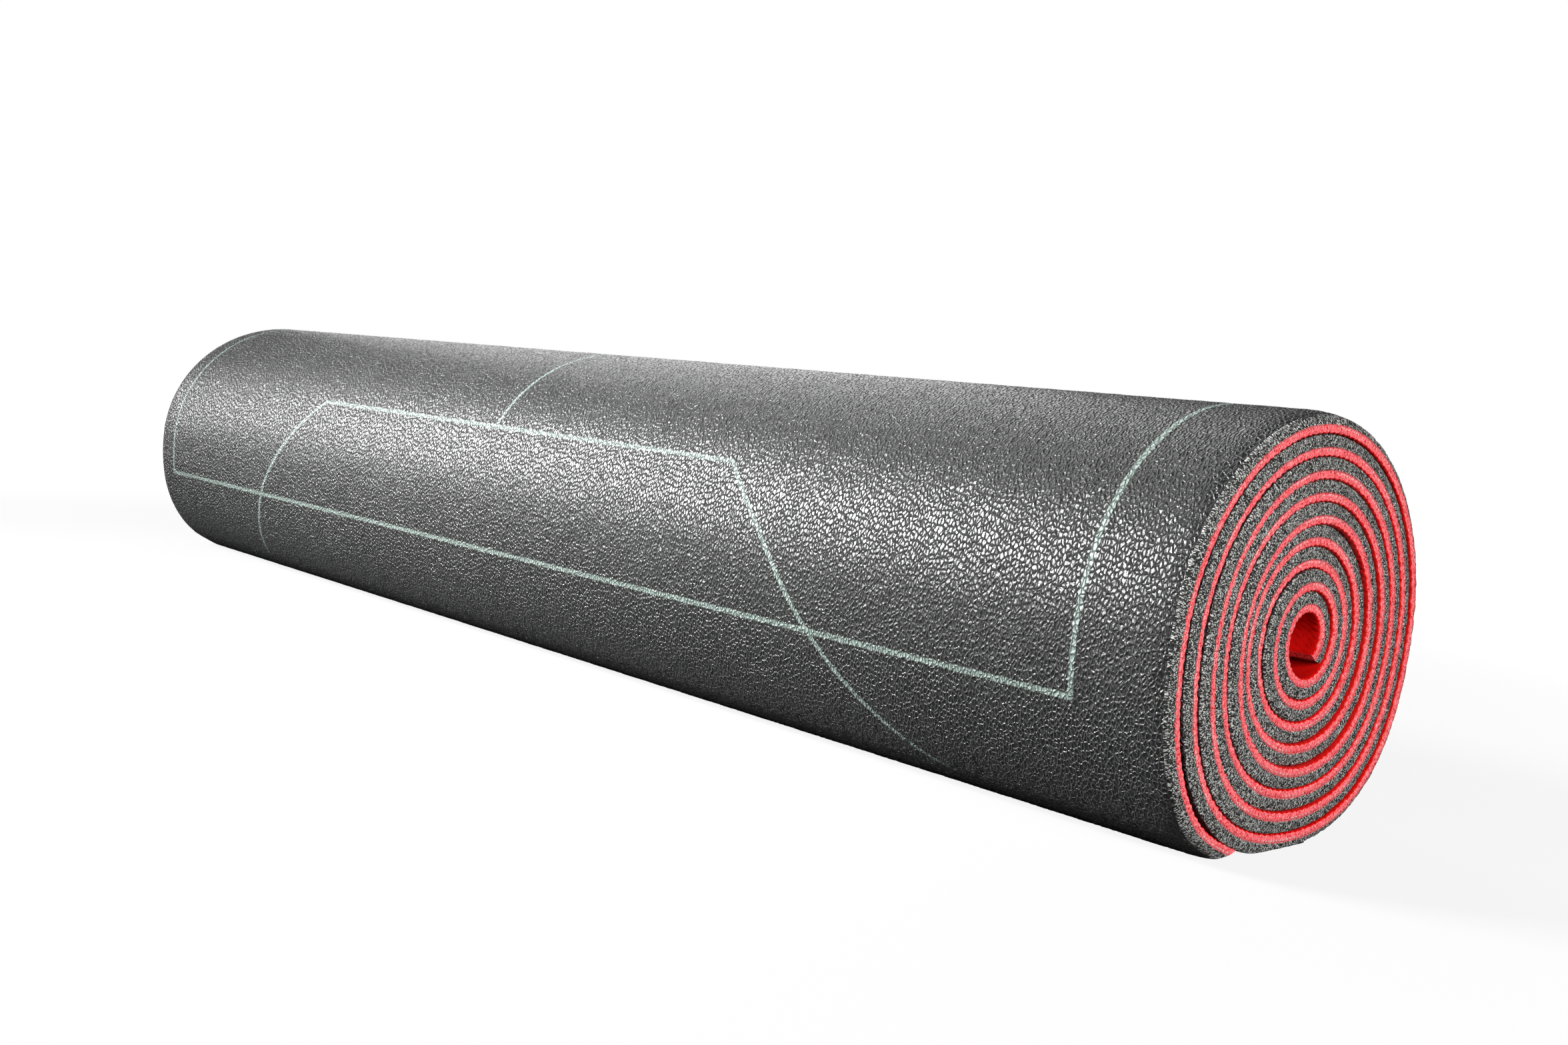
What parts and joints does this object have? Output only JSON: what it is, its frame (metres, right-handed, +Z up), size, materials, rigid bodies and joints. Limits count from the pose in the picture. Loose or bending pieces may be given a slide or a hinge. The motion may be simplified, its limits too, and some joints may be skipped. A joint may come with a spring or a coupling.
{
  "type": "rolled yoga mat",
  "caption": "Two-layer foam exercise mat, black textured face outside and red backing inside, rolled up and lying on its side; its outer turn opens flat.",
  "frame": {"origin": "on the floor, at the middle of the bottom of the roll's box", "axes": "+X along the roll to the end that shows the spiral, +Y towards the back, where the outer turn opens, +Z up"},
  "size_m": [0.61, 0.1279, 0.1172],
  "materials": {
    "top_foam": "pebbled, semi-gloss",
    "scrim": "open polyester weave",
    "back_foam": "fine dimpled, satin"
  },
  "bodies": {
    "core": {"top_foam_core": "top_foam", "scrim_core": "scrim", "back_foam_core": "back_foam"},
    "link_1": {"top_foam_link_1": "top_foam", "scrim_link_1": "scrim", "back_foam_link_1": "back_foam"},
    "link_2": {"top_foam_link_2": "top_foam", "scrim_link_2": "scrim", "back_foam_link_2": "back_foam"},
    "link_3": {"top_foam_link_3": "top_foam", "scrim_link_3": "scrim", "back_foam_link_3": "back_foam"},
    "link_4": {"top_foam_link_4": "top_foam", "scrim_link_4": "scrim", "back_foam_link_4": "back_foam"},
    "link_5": {"top_foam_link_5": "top_foam", "scrim_link_5": "scrim", "back_foam_link_5": "back_foam"},
    "link_6": {"top_foam_link_6": "top_foam", "scrim_link_6": "scrim", "back_foam_link_6": "back_foam"},
    "link_7": {"top_foam_link_7": "top_foam", "scrim_link_7": "scrim", "back_foam_link_7": "back_foam"},
    "link_8": {"top_foam_link_8": "top_foam", "scrim_link_8": "scrim", "back_foam_link_8": "back_foam"},
    "link_9": {"top_foam_link_9": "top_foam", "scrim_link_9": "scrim", "back_foam_link_9": "back_foam"},
    "link_10": {"top_foam_link_10": "top_foam", "scrim_link_10": "scrim", "back_foam_link_10": "back_foam"},
    "link_11": {"top_foam_link_11": "top_foam", "scrim_link_11": "scrim", "back_foam_link_11": "back_foam"},
    "link_12": {"top_foam_link_12": "top_foam", "scrim_link_12": "scrim", "back_foam_link_12": "back_foam"},
    "link_13": {"top_foam_link_13": "top_foam", "scrim_link_13": "scrim", "back_foam_link_13": "back_foam"},
    "link_14": {"top_foam_link_14": "top_foam", "scrim_link_14": "scrim", "back_foam_link_14": "back_foam"}
  },
  "joints": [
    {"name": "unroll_1", "type": "hinge", "parent": "core", "child": "link_1", "pos_m": [0, 0.02388, 0.00047], "axis": [-1, 0, 0], "range_deg": [0, 26.8]},
    {"name": "unroll_2", "type": "hinge", "parent": "link_1", "child": "link_2", "pos_m": [0, 0.04643, 0.01185], "axis": [-1, 0, 0], "range_deg": [0, 29.91]},
    {"name": "unroll_3", "type": "hinge", "parent": "link_2", "child": "link_3", "pos_m": [0, 0.06019, 0.03275], "axis": [-1, 0, 0], "range_deg": [0, 24.09]},
    {"name": "unroll_4", "type": "hinge", "parent": "link_3", "child": "link_4", "pos_m": [0, 0.06394, 0.05557], "axis": [-1, 0, 0], "range_deg": [0, 19.72]},
    {"name": "unroll_5", "type": "hinge", "parent": "link_4", "child": "link_5", "pos_m": [0, 0.05973, 0.07873], "axis": [-1, 0, 0], "range_deg": [0, 23.53]},
    {"name": "unroll_6", "type": "hinge", "parent": "link_5", "child": "link_6", "pos_m": [0, 0.04641, 0.09863], "axis": [-1, 0, 0], "range_deg": [0, 22.72]},
    {"name": "unroll_7", "type": "hinge", "parent": "link_6", "child": "link_7", "pos_m": [0, 0.02603, 0.11214], "axis": [-1, 0, 0], "range_deg": [0, 21.92]},
    {"name": "unroll_8", "type": "hinge", "parent": "link_7", "child": "link_8", "pos_m": [0, 0.00168, 0.11718], "axis": [-1, 0, 0], "range_deg": [0, 21.58]},
    {"name": "unroll_9", "type": "hinge", "parent": "link_8", "child": "link_9", "pos_m": [0, -0.02299, 0.11291], "axis": [-1, 0, 0], "range_deg": [0, 21.86]},
    {"name": "unroll_10", "type": "hinge", "parent": "link_9", "child": "link_10", "pos_m": [0, -0.04423, 0.09983], "axis": [-1, 0, 0], "range_deg": [0, 22.64]},
    {"name": "unroll_11", "type": "hinge", "parent": "link_10", "child": "link_11", "pos_m": [0, -0.05869, 0.07977], "axis": [-1, 0, 0], "range_deg": [0, 23.47]},
    {"name": "unroll_12", "type": "hinge", "parent": "link_11", "child": "link_12", "pos_m": [0, -0.06396, 0.05576], "axis": [-1, 0, 0], "range_deg": [0, 19.4]},
    {"name": "unroll_13", "type": "hinge", "parent": "link_12", "child": "link_13", "pos_m": [0, -0.06099, 0.03143], "axis": [-1, 0, 0], "range_deg": [0, 24.09]},
    {"name": "unroll_14", "type": "hinge", "parent": "link_13", "child": "link_14", "pos_m": [0, -0.04715, 0.00837], "axis": [-1, 0, 0], "range_deg": [0, 30.71]}
  ],
  "couplings": [
    {"joint": "unroll_2", "follows": "unroll_1", "ratio": 1.1143},
    {"joint": "unroll_3", "follows": "unroll_1", "ratio": 0.8969},
    {"joint": "unroll_4", "follows": "unroll_1", "ratio": 0.7339},
    {"joint": "unroll_5", "follows": "unroll_1", "ratio": 0.8763},
    {"joint": "unroll_6", "follows": "unroll_1", "ratio": 0.846},
    {"joint": "unroll_7", "follows": "unroll_1", "ratio": 0.816},
    {"joint": "unroll_8", "follows": "unroll_1", "ratio": 0.8032},
    {"joint": "unroll_9", "follows": "unroll_1", "ratio": 0.8138},
    {"joint": "unroll_10", "follows": "unroll_1", "ratio": 0.8428},
    {"joint": "unroll_11", "follows": "unroll_1", "ratio": 0.874},
    {"joint": "unroll_12", "follows": "unroll_1", "ratio": 0.722},
    {"joint": "unroll_13", "follows": "unroll_1", "ratio": 0.8969},
    {"joint": "unroll_14", "follows": "unroll_1", "ratio": 1.1441}
  ]
}
